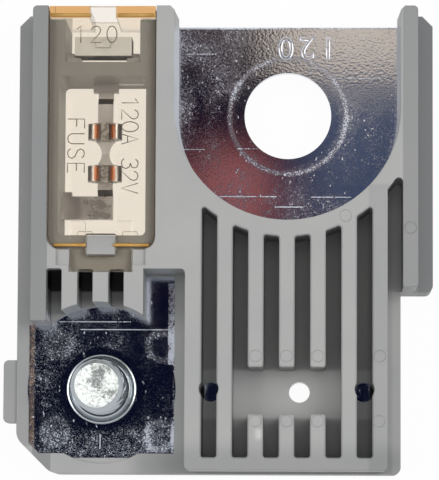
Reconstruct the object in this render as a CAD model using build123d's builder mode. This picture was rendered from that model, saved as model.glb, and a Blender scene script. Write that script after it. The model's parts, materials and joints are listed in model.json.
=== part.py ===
from build123d import *
import math
import os

# Battery fuse, lying on its back. The origin is the centre of the battery terminal hole, on the
# underside of the bus plate. +Z points out of the front face, +Y runs from the stud terminal
# towards the battery terminal, and +X points away from the fuse window. Sizes in millimetres.

# Heights
plate_thickness = 1.2
front_height = 9.5
back_depth = 4.5
flange_height = 1.6
rib_floor = 2.0

# Battery terminal: a round-bottomed bay around the hole
terminal_hole_radius = 5.0
bay_radius = 12.6
bay_draft = 1.7
bay_rim = 1.85
bay_seal = 1.2
bay_mouth = 0.35
contact_relief = 0.25
pad_setback = 1.25

# Cooling ribs
rib_pitch = 3.5
slot_width = 1.75
slot_columns = 6
slot_corner = 0.3
side_slot_corner = 0.5
frame_wall = 1.7
pocket_wall = 1.85
foot_wall = 1.4
service_gap = 5.25
service_drop = 0.2
foot_reach = 8.0

# Outside of the housing
top_end = 11.55
outer_flange = 1.9
left_flange = 2.1
lower_flange = 1.65
foot_flange = 0.25
flange_corner = 1.2
side_wall_end = -20.4
outline_corner = 0.8
raised_corner = 0.5
corner_cut = 4.0
corner_round = 2.0
front_edge = 0.15
tab_length = 7.2
tab_depth = 1.55
tab_thickness = 2.2
tab_corner = 0.6

# Fuse window and its cover
left_wall = 1.75
window_wall = 2.0
window_width = 9.9
window_top = 3.65
window_length = 18.2
window_corner = 0.6
cover_width = 12.1
cover_clearance = 0.1
cover_thickness = 1.2
cover_recess = 1.6
cover_lap = 1.55
cover_corner = 1.3
end_wall = 1.25
end_gap = 0.2
strap_width = 7.0
strap_reach = 2.6
strap_root = 3.1
strap_thickness = 1.5
strap_corner = 0.25
strap_overhang = 0.3
catch_width = 3.2
catch_length = 2.15
catch_height = 1.35
catch_ramp = 0.7
catch_setback = 0.1
catch_clearance = 0.15
guard_span = 10.1
guard_length = 1.9
guard_drop = 0.5
notch_width = 8.5
notch_depth = 4.85
latch_width = 6.5
latch_length = 1.65
latch_setback = 1.3
latch_bar = 0.5
latch_slot_width = 5.2
latch_floor = 3.5
latch_shoulder = 2.0
latch_rise = 1.8
latch_bump = 0.3
vent_width = 3.0

# Stud terminal
stud_y = -31.6
stud_radius = 3.0
stud_fit = 0.1
stud_length = 9.3
stud_chamfer = 0.55
collar_radius = 4.0
collar_height = 0.6
collar_chamfer = 0.35
head_across_flats = 10.0
head_height = 3.9
head_corner = 0.4
seat_radius = 8.5
wrench_radius = 9.45
ledge_right = 1.45
ledge_left = 1.4
ledge_foot = 2.3
ledge_top = 0.25
pad_chamfer = 1.2
pad_seal = 0.5
plate_corner = 2.0
short_slots = 3
short_rib_reach = 7.3
end_rib = 2.2

# Bus plate between the terminals
tongue_half_width = 9.9
tongue_edge = 0.45
tongue_reach = 4.6
arm_width = 2.4
link_width = 2.65
link_setback = 5.15
link_left = 0.35
link_step = 0.48
link_step_reach = 1.1
element_tab_width = 2.9
element_tab_length = 1.0
element_width = 1.75
waist_width = 2.3
element_thickness = 0.5
element_rise = 0.8
element_ramp = 0.7
neck_width = 0.87
neck_radius = 1.78
neck_dip = 0.35
crimp_width = 3.9
crimp_height = 2.0
crimp_length = 1.8
crimp_corner = 0.8
crimp_gap = 0.9
crimp_spacing = 4.85
crimp_setback = 2.45
pellet_overhang = 0.12
pellet_crown = 0.3

# Holes left by the pins that hold the tongue in the mould
pin_drop = 0.3
pin_hole_radius = 1.12
centre_hole_radius = 1.2
centre_hole_x = 1.4

# Back of the housing
core_wall = 1.5
core_top = -17.0
core_floor = -1.0
core_columns = 3
core_rows = 2
core_corner = 0.5

# Places worked out from the sizes above
bay_front_radius = bay_radius + (front_height - plate_thickness) * math.tan(math.radians(bay_draft))
slot_top_radius = bay_front_radius + bay_rim
slot_edge = (slot_columns - 1) / 2 * rib_pitch + slot_width / 2
service_edge = slot_edge - rib_pitch
body_right = slot_edge + frame_wall
wall_left = body_right + slot_width
wall_right = wall_left + frame_wall
flange_right = wall_right + outer_flange
lower_flange_right = body_right + lower_flange
recess_width = cover_width + 2 * cover_clearance
window_x = -(bay_front_radius + window_wall + recess_width / 2)
window_left = window_x - window_width / 2
body_left = window_x - recess_width / 2 - left_wall
flange_left = body_left - left_flange
pin_y = stud_y - pin_drop
gap_y = pin_y - service_drop
rib_foot = stud_y - foot_reach
body_foot = rib_foot - foot_wall
flange_foot = body_foot - foot_flange
window_foot = window_top - window_length
cover_foot = window_foot - cover_lap
strap_foot = cover_foot - strap_reach
catch_top = window_foot - catch_setback
catch_foot = catch_top - catch_length
section_end = top_end - end_wall - end_gap
recess_floor = front_height - cover_recess
back_recess_floor = cover_recess - back_depth
notch_foot = section_end - notch_depth
latch_foot = notch_foot + latch_setback
pocket_top = strap_foot + strap_overhang
pocket_right = -slot_edge - pocket_wall
pad_left = flange_left + ledge_left
pad_right = pocket_right - ledge_right
pad_foot = flange_foot + ledge_foot
pad_top = pocket_top - ledge_top
stud_x = (pad_left + pad_right) / 2
short_slot_x = window_x - rib_pitch / 2
short_rib_right = short_slot_x + rib_pitch + slot_width / 2 + end_rib
short_rib_foot = stud_y + short_rib_reach
link_top = window_foot + link_setback
link_edge = pad_left + link_left
element_top = window_top - element_tab_length
lower_crimp_y = link_top + crimp_setback
upper_crimp_y = lower_crimp_y + crimp_spacing
neck_y = (lower_crimp_y + upper_crimp_y) / 2
plate_middle = plate_thickness / 2
strip_height = plate_middle + element_rise
crimp_middle = strip_height + (crimp_height - element_thickness) / 2
through = front_height + back_depth


def rectangle(left, right, bottom, top, mode=Mode.ADD):
    """A rectangle between these edges, in the sketch in hand."""
    with Locations(((left + right) / 2, (bottom + top) / 2)):
        Rectangle(right - left, top - bottom, mode=mode)


def window_rectangle(width, bottom, top, mode=Mode.ADD):
    """A rectangle of this width on the centre line of the fuse window."""
    rectangle(window_x - width / 2, window_x + width / 2, bottom, top, mode)


def bay_outline(radius):
    """The bay around the battery terminal: a half circle that runs out at the top end, with a mouth."""
    Circle(radius)
    rectangle(-radius, radius, 0, top_end + outer_flange)
    Polygon(
        (-radius, top_end - bay_mouth),
        (radius, top_end - bay_mouth),
        (radius + 2 * bay_mouth, top_end + bay_mouth),
        (-radius - 2 * bay_mouth, top_end + bay_mouth),
        align=None,
    )


def crimp_inside():
    """The room inside a crimp, seen along the fuse strip."""
    with Locations((window_x, crimp_middle)):
        RectangleRounded(
            crimp_width - 2 * element_thickness,
            crimp_height - 2 * element_thickness,
            crimp_corner - element_thickness,
        )


# The strip that melts: waved in side view, waisted in plan, with a crimp for each pellet
with BuildPart() as fuse_strip:
    half = element_thickness / 2
    wave = [
        (element_top + element_ramp, plate_middle),
        (element_top - element_ramp, plate_middle),
        (element_top - 2 * element_ramp, strip_height),
        (neck_y + neck_radius, strip_height),
        (neck_y, strip_height - neck_dip),
        (neck_y - neck_radius, strip_height),
        (link_top + element_ramp, strip_height),
        (link_top, plate_middle),
        (link_top - element_ramp, plate_middle),
    ]
    with BuildSketch(Plane.YZ.offset(window_x)):
        with BuildLine():
            upper_side = [(y, z + half) for y, z in wave]
            lower_side = [(y, z - half) for y, z in reversed(wave)]
            Polyline(upper_side + lower_side, close=True)
        make_face()
    extrude(amount=waist_width / 2, both=True)
    with BuildSketch():
        with Locations((window_x, neck_y)):
            with GridLocations(neck_width + 2 * neck_radius, 0, 2, 1):
                Circle(neck_radius)
        for far_y, near_y in ((element_top + 1, upper_crimp_y), (link_top - 1, lower_crimp_y)):
            for side in (-1, 1):
                edges = sorted((side * element_width / 2, side * waist_width))
                ends = sorted((far_y, near_y))
                rectangle(window_x + edges[0], window_x + edges[1], *ends)
    extrude(amount=front_height, mode=Mode.SUBTRACT)
    for crimp_y in (upper_crimp_y, lower_crimp_y):
        with BuildSketch(Plane.XZ.offset(-crimp_y)):
            crimp_inside()
            offset(amount=element_thickness, kind=Kind.ARC)
            with Locations((window_x, crimp_middle + crimp_height / 2)):
                Trapezoid(
                    crimp_gap + 2 * element_thickness,
                    element_thickness,
                    45,
                    align=(Align.CENTER, Align.MIN),
                    rotation=180,
                    mode=Mode.SUBTRACT,
                )
            with Locations((window_x, crimp_middle)):
                RectangleRounded(
                    crimp_width - 2 * element_thickness,
                    crimp_height - 2 * element_thickness,
                    crimp_corner - element_thickness,
                    mode=Mode.SUBTRACT,
                )
        extrude(amount=crimp_length / 2, both=True)


# The bus plate: battery pad, tongue under the ribs, arm, fuse strip, link and stud pad
with BuildPart() as bus_plate:
    with BuildSketch() as plate_outline:
        bay_outline(bay_radius + bay_seal)
        rectangle(wall_right, -wall_right, top_end - pad_setback, top_end + wall_right, Mode.SUBTRACT)
        rectangle(-tongue_half_width, tongue_half_width, pin_y - tongue_reach, 0)
        rectangle(window_x - element_tab_width / 2, 0, window_top, window_top + arm_width)
        window_rectangle(element_tab_width, element_top, window_top + arm_width)
        rectangle(link_edge, window_x + element_width / 2, link_top - link_width, link_top)
        rectangle(link_edge, link_edge + link_width, pad_top, link_top)
        rectangle(link_edge, window_left + link_step_reach, link_top - link_width, link_top + link_step)
        rectangle(pad_left - pad_seal, pad_right + pad_seal, pad_foot - pad_seal, pad_top + pad_seal)
        chamfer(plate_outline.vertices().group_by(Axis.Y)[0].sort_by(Axis.X)[0], plate_corner)
        with Locations((stud_x, stud_y)):
            Circle(stud_radius + stud_fit, mode=Mode.SUBTRACT)
        Circle(terminal_hole_radius, mode=Mode.SUBTRACT)
        with Locations((centre_hole_x, pin_y)):
            Circle(centre_hole_radius, mode=Mode.SUBTRACT)
    extrude(amount=plate_thickness)
    tongue_edges = bus_plate.edges().filter_by(Axis.Y).filter_by_position(
        Axis.Z, plate_thickness / 2, 2 * plate_thickness
    )
    for side in (-1, 1):
        place = side * tongue_half_width
        chamfer(tongue_edges.filter_by_position(Axis.X, place - 0.1, place + 0.1), tongue_edge)
    add(fuse_strip.part)
bus_plate.part.label = "bus_plate"


def tin_pellet(crimp_y):
    """The tin gripped by the crimp at this place, with its crown showing in the gap."""
    with BuildPart() as pellet:
        with BuildSketch(Plane.XZ.offset(-crimp_y)):
            crimp_inside()
            with Locations((window_x, crimp_middle + crimp_height / 2 - element_thickness)):
                Rectangle(crimp_gap, 2 * pellet_crown)
        extrude(amount=crimp_length / 2 + pellet_overhang, both=True)
    return pellet


upper_pellet = tin_pellet(upper_crimp_y)
upper_pellet.part.label = "upper_tin_pellet"
lower_pellet = tin_pellet(lower_crimp_y)
lower_pellet.part.label = "lower_tin_pellet"


# The stud: hexagon head behind the plate, collar in front of it, and a chamfered end
with BuildPart() as stud:
    with BuildSketch(Plane.XY.offset(-head_height)) as head:
        with Locations((stud_x, stud_y)):
            RegularPolygon(head_across_flats / 2, 6, major_radius=False)
        fillet(head.vertices(), head_corner)
    extrude(amount=head_height)
    with BuildSketch():
        with Locations((stud_x, stud_y)):
            Circle(stud_radius)
    extrude(amount=plate_thickness + stud_length)
    chamfer(stud.edges().group_by(Axis.Z)[-1], stud_chamfer)
    with BuildSketch(Plane.XY.offset(plate_thickness)):
        with Locations((stud_x, stud_y)):
            Circle(collar_radius)
    extrude(amount=collar_height)
    collar_rim = stud.edges().filter_by_position(
        Axis.Z, plate_thickness + collar_height / 2, plate_thickness + 1.5 * collar_height
    )
    chamfer(collar_rim.filter_by(GeomType.CIRCLE).sort_by(SortBy.RADIUS)[-1], collar_chamfer)
stud.part.label = "terminal_stud"


# The clear cover: a front and a back panel joined over the top end, each with a snap strap
with BuildPart() as cover:
    with BuildSketch(Plane.XY.offset(recess_floor)) as panel:
        window_rectangle(cover_width, cover_foot, top_end)
        fillet(panel.vertices().group_by(Axis.Y)[0], cover_corner)
    extrude(amount=cover_thickness)
    with BuildSketch(Plane.XY.offset(recess_floor)) as strap:
        window_rectangle(strap_width, strap_foot, cover_foot + strap_root)
        window_rectangle(
            catch_width + 2 * catch_clearance, catch_top, cover_foot + strap_root, Mode.SUBTRACT
        )
        fillet(strap.vertices(), strap_corner)
    extrude(amount=strap_thickness)
    with BuildSketch(Plane.XY.offset(recess_floor)) as strap_opening:
        window_rectangle(
            catch_width + 2 * catch_clearance,
            catch_foot - catch_clearance,
            catch_top + catch_clearance,
        )
        fillet(strap_opening.vertices(), strap_corner)
    extrude(amount=strap_thickness, mode=Mode.SUBTRACT)
    mirror(about=Plane.XY.offset((recess_floor + back_recess_floor) / 2))
    with BuildSketch(Plane.XY.offset(back_recess_floor - cover_thickness)):
        window_rectangle(cover_width, section_end + end_gap, top_end)
    extrude(amount=recess_floor - back_recess_floor + 2 * cover_thickness)
    with BuildSketch(Plane.XY.offset(back_recess_floor)):
        window_rectangle(vent_width, section_end, top_end)
    extrude(amount=recess_floor - back_recess_floor, mode=Mode.SUBTRACT)
cover.part.label = "window_cover"


# The housing, moulded around the bus plate
with BuildPart() as housing:
    # Base slab with its flange, and the locating tab on the left
    with BuildSketch(Plane.XY.offset(-back_depth)) as base_outline:
        rectangle(flange_left, flange_right, flange_foot, top_end)
        chamfer(base_outline.vertices().sort_by(Axis.Y)[:2].sort_by(Axis.X)[0], corner_cut)
        cut_ends = base_outline.vertices().filter_by_position(Axis.X, flange_left, 0).sort_by(Axis.Y)[:2]
        fillet(cut_ends, corner_round)
        chamfer(base_outline.vertices().sort_by(Axis.Y)[-2:], flange_corner)
        rectangle(lower_flange_right, flange_right, flange_foot, side_wall_end, Mode.SUBTRACT)
        fillet(base_outline.vertices().sort_by(Axis.Y)[:2].sort_by(Axis.X)[-1], outline_corner)
        fillet(base_outline.vertices().group_by(Axis.X)[-1].sort_by(Axis.Y)[0], outline_corner)
    extrude(amount=back_depth + flange_height)
    with BuildSketch(Plane.XY.offset(plate_thickness - tab_thickness)) as tab:
        rectangle(
            flange_left - tab_depth,
            flange_left + tab_depth,
            pin_y - tab_length / 2,
            pin_y + tab_length / 2,
        )
        fillet(tab.vertices().group_by(Axis.X)[0], tab_corner)
    extrude(amount=tab_thickness)

    # Short ribs above the stud, cut back to leave room for a wrench
    with BuildSketch() as short_ribs:
        rectangle(body_left, short_rib_right, short_rib_foot, pocket_top)
        with Locations((stud_x, stud_y)):
            Circle(wrench_radius, mode=Mode.SUBTRACT)
    extrude(amount=front_height)

    # Raised body, cut away around the stud and beside the lower ribs
    with BuildSketch() as body_outline:
        rectangle(body_left, wall_right, body_foot, top_end)
        fillet(body_outline.vertices().group_by(Axis.Y)[-1], raised_corner)
        rectangle(body_right, wall_right, body_foot, side_wall_end, Mode.SUBTRACT)
        rectangle(body_left, pocket_right, body_foot, pocket_top, Mode.SUBTRACT)
        corners = body_outline.vertices().filter_by_position(
            Axis.Y, body_foot - raised_corner, pocket_top + raised_corner
        )
        fillet(corners.filter_by_position(Axis.X, pocket_right - raised_corner, wall_right), raised_corner)
    extrude(amount=front_height)

    # Bay around the battery terminal, flared towards the front and open at the back
    with BuildSketch(Plane.XY.offset(plate_thickness)):
        bay_outline(bay_radius)
    extrude(amount=front_height - plate_thickness, taper=-bay_draft, mode=Mode.SUBTRACT)
    with BuildSketch(Plane.XY.offset(-back_depth)):
        bay_outline(bay_radius + contact_relief)
    extrude(amount=back_depth + plate_thickness, mode=Mode.SUBTRACT)

    # Slots between the ribs, with the service gap across the middle ones
    with BuildSketch(Plane.XY.offset(rib_floor)) as slots:
        with Locations((0, rib_foot / 2)):
            with GridLocations(rib_pitch, 0, slot_columns, 1):
                Rectangle(slot_width, -rib_foot)
        rectangle(-service_edge, service_edge, gap_y - service_gap / 2, gap_y + service_gap / 2)
        Circle(slot_top_radius, mode=Mode.SUBTRACT)
        fillet(slots.vertices(), slot_corner)
    extrude(amount=front_height - rib_floor, mode=Mode.SUBTRACT)
    with BuildSketch(Plane.XY.offset(flange_height)) as side_slot:
        rectangle(body_right, wall_left, side_wall_end - raised_corner, 0)
        Circle(slot_top_radius, mode=Mode.SUBTRACT)
        fillet(side_slot.vertices().sort_by(Axis.Y)[-1], side_slot_corner)
    extrude(amount=front_height - flange_height, mode=Mode.SUBTRACT)
    with BuildSketch(Plane.XY.offset(rib_floor)) as short_rib_slots:
        with Locations((short_slot_x, pocket_top)):
            with GridLocations(rib_pitch, 0, short_slots, 1):
                Rectangle(slot_width, 2 * (pocket_top - short_rib_foot))
        rectangle(flange_left, 0, pocket_top, 0, Mode.SUBTRACT)
        fillet(short_rib_slots.vertices().group_by(Axis.Y)[-1], slot_corner)
    extrude(amount=front_height - rib_floor, mode=Mode.SUBTRACT)

    # Opening over the stud pad
    with BuildSketch(Plane.XY.offset(plate_thickness)) as pad_opening:
        rectangle(pad_left, pad_right, pad_foot, pad_top)
        chamfer(pad_opening.vertices().group_by(Axis.Y)[0].sort_by(Axis.X)[0], pad_chamfer)
        add(short_ribs.sketch, mode=Mode.SUBTRACT)
        rectangle(pad_left, body_left, short_rib_foot, pad_top, Mode.SUBTRACT)
        with Locations((stud_x, stud_y)):
            Circle(seat_radius)
    extrude(amount=rib_floor - plate_thickness, mode=Mode.SUBTRACT)

    # Recess for the cover, its strap and its snap catch, the same on both faces
    for face_height, inward in ((front_height, -1), (-back_depth, 1)):
        with BuildSketch(Plane.XY.offset(face_height)) as recess:
            window_rectangle(recess_width, cover_foot - cover_clearance, top_end)
            fillet(recess.vertices().group_by(Axis.Y)[0], cover_corner + cover_clearance)
            window_rectangle(
                strap_width + 2 * cover_clearance, strap_foot - cover_clearance, cover_foot
            )
        extrude(amount=inward * cover_recess, mode=Mode.SUBTRACT)
        with BuildSketch(Plane.XY.offset(face_height)):
            window_rectangle(guard_span, cover_foot - guard_length, cover_foot)
        extrude(amount=inward * guard_drop, mode=Mode.SUBTRACT)
        catch_base = face_height + inward * cover_recess
        catch_peak = catch_base - inward * catch_height
        with BuildSketch(Plane.YZ.offset(window_x)):
            with BuildLine():
                Polyline(
                    (catch_top, catch_base),
                    (catch_top, catch_peak + inward * catch_ramp),
                    (catch_foot, catch_peak),
                    (catch_foot, catch_base),
                    close=True,
                )
            make_face()
        extrude(amount=catch_width / 2, both=True)

    # Window, and the notch at its top end with the latch that stands in it
    with BuildSketch(Plane.XY.offset(-back_depth)) as window:
        window_rectangle(window_width, window_foot, window_top)
        fillet(window.vertices(), window_corner)
        window_rectangle(recess_width, section_end, top_end)
        window_rectangle(notch_width, notch_foot, section_end)
    extrude(amount=through, mode=Mode.SUBTRACT)
    with BuildSketch(Plane.XY.offset(latch_floor)):
        window_rectangle(notch_width, notch_foot, latch_foot)
        window_rectangle(latch_slot_width, notch_foot, latch_foot - latch_bar, Mode.SUBTRACT)
        window_rectangle(latch_width, latch_foot - latch_bar, latch_foot + latch_length)
    extrude(amount=latch_shoulder)
    with BuildSketch(Plane.XY.offset(latch_floor + latch_shoulder)):
        window_rectangle(latch_width, latch_foot - latch_bar, latch_foot + latch_length)
    extrude(amount=latch_rise)
    with BuildSketch(Plane.XY.offset(latch_floor + latch_shoulder + latch_rise)):
        with Locations((window_x, latch_foot + latch_length / 2)):
            Rectangle(latch_length, latch_length / 2)
    extrude(amount=latch_bump)

    # Back: pocket for the stud head, and cores that keep the walls even
    with BuildSketch(Plane.XY.offset(-back_depth)):
        with Locations((stud_x, stud_y)):
            RegularPolygon(head_across_flats / 2 + stud_fit, 6, major_radius=False)
    extrude(amount=back_depth, mode=Mode.SUBTRACT)
    with BuildSketch():
        with Locations((stud_x, stud_y)):
            Circle(stud_radius + stud_fit)
    extrude(amount=plate_thickness, mode=Mode.SUBTRACT)
    core_width = (2 * slot_edge + core_wall) / core_columns
    core_length = (core_top - rib_foot + core_wall) / core_rows
    with BuildSketch(Plane.XY.offset(-back_depth)):
        with Locations((0, (core_top + rib_foot) / 2)):
            with GridLocations(core_width, core_length, core_columns, core_rows):
                RectangleRounded(core_width - core_wall, core_length - core_wall, core_corner)
    extrude(amount=back_depth + core_floor, mode=Mode.SUBTRACT)

    # Broken edges round the slots
    front = housing.faces().filter_by(Plane.XY).group_by(Axis.Z)[-1].sort_by(SortBy.AREA)[-1]
    chamfer(front.inner_wires().edges(), front_edge)

    # Pin holes right through the ribs' floor
    with BuildSketch(Plane.XY.offset(-back_depth)):
        with Locations((0, pin_y)):
            with GridLocations((slot_columns - 1) * rib_pitch, 0, 2, 1):
                Circle(pin_hole_radius)
        with Locations((centre_hole_x, pin_y)):
            Circle(centre_hole_radius)
    extrude(amount=through, mode=Mode.SUBTRACT)

    # The metal that the moulding closes around
    add(bus_plate.part, mode=Mode.SUBTRACT)
housing.part.label = "housing"


os.makedirs("parts", exist_ok=True)
for piece in (housing, bus_plate, upper_pellet, lower_pellet, stud, cover):
    export_step(piece.part, f"parts/{piece.part.label}.step")
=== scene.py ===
import json
import math

import bmesh
import bpy
from mathutils import Matrix, Vector


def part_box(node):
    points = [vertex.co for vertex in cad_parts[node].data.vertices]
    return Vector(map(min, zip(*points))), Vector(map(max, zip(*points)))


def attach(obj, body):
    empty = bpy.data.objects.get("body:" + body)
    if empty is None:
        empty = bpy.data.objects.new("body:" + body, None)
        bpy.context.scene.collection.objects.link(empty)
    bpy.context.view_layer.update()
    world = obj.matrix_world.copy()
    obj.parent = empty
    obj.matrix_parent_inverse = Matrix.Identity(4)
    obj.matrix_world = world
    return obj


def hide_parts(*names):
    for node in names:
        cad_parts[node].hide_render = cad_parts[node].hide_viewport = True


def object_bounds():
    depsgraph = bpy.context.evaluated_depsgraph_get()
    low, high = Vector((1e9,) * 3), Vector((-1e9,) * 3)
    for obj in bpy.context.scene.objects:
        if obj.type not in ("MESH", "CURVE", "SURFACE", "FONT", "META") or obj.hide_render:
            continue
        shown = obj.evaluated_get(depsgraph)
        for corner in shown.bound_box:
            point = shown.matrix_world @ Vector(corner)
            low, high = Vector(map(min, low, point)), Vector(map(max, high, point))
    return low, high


# Battery fuse lying on its back on a pale sheet, seen from above. Lengths are in metres, and MM
# turns a size in millimetres into them.
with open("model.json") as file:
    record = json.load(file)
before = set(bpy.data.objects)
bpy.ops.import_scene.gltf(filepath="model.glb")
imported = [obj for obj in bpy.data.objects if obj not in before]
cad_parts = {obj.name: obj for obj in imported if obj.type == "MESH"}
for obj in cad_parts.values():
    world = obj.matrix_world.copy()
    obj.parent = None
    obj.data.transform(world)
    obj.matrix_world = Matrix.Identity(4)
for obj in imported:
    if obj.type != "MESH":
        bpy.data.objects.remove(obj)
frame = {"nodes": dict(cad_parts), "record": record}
cad_low, cad_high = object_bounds()
nodes = frame["nodes"]
MM = 0.001

# Places read from the frame; a spot and strip_x are in millimetres, as the marks below are
mounts = {mount["name"]: Vector(mount["pos_m"]) for mount in frame["record"]["mounts"]}
hole_spot = tuple(mounts["battery_hole"].xy / MM)
stud_centre = mounts["output_stud"]
stud_spot = tuple(stud_centre.xy / MM)
stud_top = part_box("terminal_stud")[1].z
cover_low, cover_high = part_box("window_cover")
strip_x = (cover_low.x + cover_high.x) / 2 / MM
front_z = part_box("housing")[1].z

# Heights that no box gives: the top of the pads, and the flat front of the cover
PLATE_TOP = 1.2 * MM
COVER_FRONT = 9.1 * MM

# Camera: far off and a little towards the stud end, as the photograph was taken
VIEW_CENTRE = Vector((-7.6, -15.16, 9.5)) * MM
VIEW_SIDE = 0.027
VIEW_TILT = -0.094
VIEW_DISTANCE = 386 * MM
VIEW_LENS = 257.05
VIEW_ROLL = 0.0047

# Studio: the level of the light from all round, and lamps (place, size in mm, watts)
WORLD_LEVEL = 0.3
LAMP_COLOUR = "FFFDFA"
LAMPS = {
    "right_softbox": ((200, 20, 380), 200, 0.6),
    "left_softbox": ((-300, -15, 520), 250, 0.8),
    "top_softbox": ((25, 10, 420), 220, 0.41),
}

# Sheet under the fuse, just clear of it, and how white it shows by itself and through the cover
FLOOR_SIZE = 1.2
FLOOR_GAP = 0.02 * MM
FLOOR_SHARE = 0.96
FLOOR_SHARE_THROUGH_COVER = 0.7

# Card over the fuse, unseen by the camera, and what the plates mirror as patches on it: (centre,
# half size, blur), tint
CARD_PLACE = Vector((-14, 4, 200)) * MM
CARD_WIDTH = 116 * MM
CARD_LENGTH = 120 * MM
CARD_TONE = "070B1F"
CARD_PATCHES = [
    (((12.5, 24.5), (9.5, 16.0), 6.0), "4C566C"),
    (((-11.5, 12.0), (4.5, 5.5), 4.2), "BA6C66"),
    (((10.5, 47.0), (13.5, 12.5), 4.0), "EAD8C0"),
    (((-17.0, 42.0), (3.5, 4.0), 4.5), "564444"),
]

# Ring left by the clamp's washer: (radius, half width, blur), haze
WASHER_RING = ((6.72, 0.1, 0.35), 0.09)

# Round press marks on the stud pad: centre, haze of the disc, haze of the rim
PRESS_RADIUS = 1.75
PRESS_BLUR = 0.15
PRESS_RIM = (PRESS_RADIUS - 0.15, 0.12, 0.6)
PRESS_MARKS = [
    ((-26.37, -26.44), 0.03, 0.01),
    ((-14.36, -26.67), 0.01, 0.07),
    ((-26.6, -36.5), 0.04, 0.01),
    ((-14.6, -36.95), 0.01, 0.07),
]

# Scratches and rubbed areas on the plate: (centre, half size, blur), weight
SCRATCHES = [
    (((-4.6, -9.35), (3.3, 0.02), 0.07), 0.3),
    (((5.0, -9.4), (2.3, 0.02), 0.07), 0.3),
    (((0.1, -10.55), (1.6, 0.02), 0.07), 0.35),
    (((8.6, 4.4), (2.7, 0.02), 0.06), 0.25),
    (((-10.0, 7.2), (1.8, 0.02), 0.05), 0.15),
    (((-11.0, -3.9), (1.4, 0.02), 0.06), 0.25),
    (((-4.6, -3.8), (1.2, 0.02), 0.06), 0.25),
    (((-22.1, -23.85), (4.1, 0.02), 0.06), 0.35),
    (((-18.7, -24.75), (5.0, 0.02), 0.06), 0.35),
    (((-21.4, -37.6), (0.02, 0.8), 0.06), 0.3),
    (((-13.3, -24.1), (0.28, 4.6), 0.2), 0.3),
    (((-13.0, -31.6), (0.05, 2.9), 0.1), 0.12),
    (((-13.1, -36.8), (0.12, 2.0), 0.15), 0.14),
    (((0.0, 10.25), (12.6, 0.1), 0.1), 0.3),
]
RUBS = [
    (((-8.5, 6.5), (2.5, 3.0), 3.0), 0.08),
    (((-10.0, 7.0), (0.6, 0.8), 0.8), 0.08),
    (((-11.8, 0.6), (0.5, 0.9), 1.0), 0.09),
    (((0.0, -10.8), (7.0, 1.0), 1.5), 0.08),
    (((-21.5, -37.8), (8.0, 0.9), 1.5), 0.1),
    (((-24.5, -24.5), (5.0, 2.0), 2.0), 0.08),
    (((-27.0, -32.0), (1.5, 4.0), 2.0), 0.02),
    (((-15.8, -31.0), (1.5, 4.0), 2.0), -0.02),
    (((9.5, -1.0), (2.5, 6.0), 2.0), 0.02),
    (((-6.5, -7.0), (3.0, 2.0), 2.0), 0.04),
    (((6.0, 8.0), (6.5, 2.5), 2.0), -0.06),
]

# How close the dents lie away from all marks, and rims with fewer: (place, radius, half width,
# blur), weight
DENT_LEVEL = -0.43
CLEAN_RIMS = [
    ((hole_spot, 5.3, 0.4, 0.3), -0.2),
    ((stud_spot, 4.0, 0.4, 0.5), -0.2),
]

# Other parts of the plate, as (centre, half size, blur): where it was pressed, its worn left edge,
# the fuse strip, and the tongue, with the heights of the tongue's cut edge
PEEL_AREA = ((4.5, 8.0), (8.0, 3.0), 2.5)
WORN_EDGE = ((-29.3, -29.0), (0.2, 10.5), 0.25)
FUSE_AREA = ((-21.0, -4.0), (6.0, 10.5), 1.0)
TONGUE_AREA = ((0.0, -30.0), (10.5, 12.0), 0.1)
TONGUE_EDGE = (1.1, 1.16)

# Tips of the crimps: their places along and across the strip, (half size, blur), how much copper
# shows, and the height from which they count
CRIMP_MIDDLES = (-2.1, -6.95)
CRIMP_TIP = 0.95
CRIMP_TIP_SIZE = ((0.16, 0.7), 0.18)
CRIMP_TINT = 0.75
CRIMP_TOP_FROM = 2.2

# Smoother spot on the stud's cut end: how far above its middle, and (half size, blur)
SMOOTH_SHIFT = 1.1
SMOOTH_SIZE = ((0.35, 0.8), 0.9)

# What clear amber plastic lets through, and how strongly a metre of it absorbs the rest
AMBER_TINT = (0.94, 0.785, 0.54, 1.0)
AMBER_PER_METRE = 265.0

# Painted shade on the housing, darker where less light falls: its outer walls and flanges, (centre,
# half size, blur), weight
PAINTED_SHADE_AREAS = [
    (((-28.1, -15.0), (1.0, 27.0), 0.1), 0.6),
    (((-31.5, -10.0), (2.3, 28.0), 0.3), 0.3),
    (((14.0, 0.0), (0.9, 25.0), 0.1), 0.52),
    (((16.4, 0.0), (1.4, 25.0), 0.1), 0.86),
    (((10.6, -25.0), (1.2, 16.0), 0.4), 0.24),
    (((-2.0, -41.0), (14.0, 1.0), 3.0), 0.4),
]

# Painted shade inside the slots, darker with depth: (centre, half size, blur), weight, and the heights
# where that starts and is full
PAINTED_SLOT_SHADE = [
    (((-22.75, -19.1), (5.2, 1.2), 0.3), 0.5),
    (((-22.75, -19.6), (5.2, 1.4), 1.5), 0.5),
    (((0.6, -20.5), (10.3, 8.6), 0.6), 0.3),
    (((0.6, -37.5), (10.3, 2.2), 0.6), 0.3),
]
SLOT_SHADE_FROM = 7.4
SLOT_SHADE_FULL_BELOW = 6.9

# Pale scuff on a lower rib: centre, half size, blur
SCUFF = ((-3.15, -37.0), (0.05, 0.25), 0.65)

# Round witness marks of the ejector pins on the front face
EJECTOR_MARKS = [
    (-3.5, -28.2),
    (0.0, -28.2),
    (3.5, -28.2),
    (10.45, -28.2),
    (-3.5, -35.5),
    (0.0, -35.5),
    (3.5, -35.5),
    (10.35, -35.5),
    (13.92, -13.7),
    (6.6, -12.35),
]
EJECTOR_RADIUS = 0.66
EJECTOR_LINE = 0.05
RING_POINTS = 28
LINE_POINTS = 6

# Rating stamped into the pad, upside down from the front
STAMP_TEXT = "120"
STAMP_CENTRE = (2.2, 8.03)
STAMP_SIZE = 3.75
STAMP_SPACING = 1.3
STAMP_RELIEF = 0.1

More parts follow.
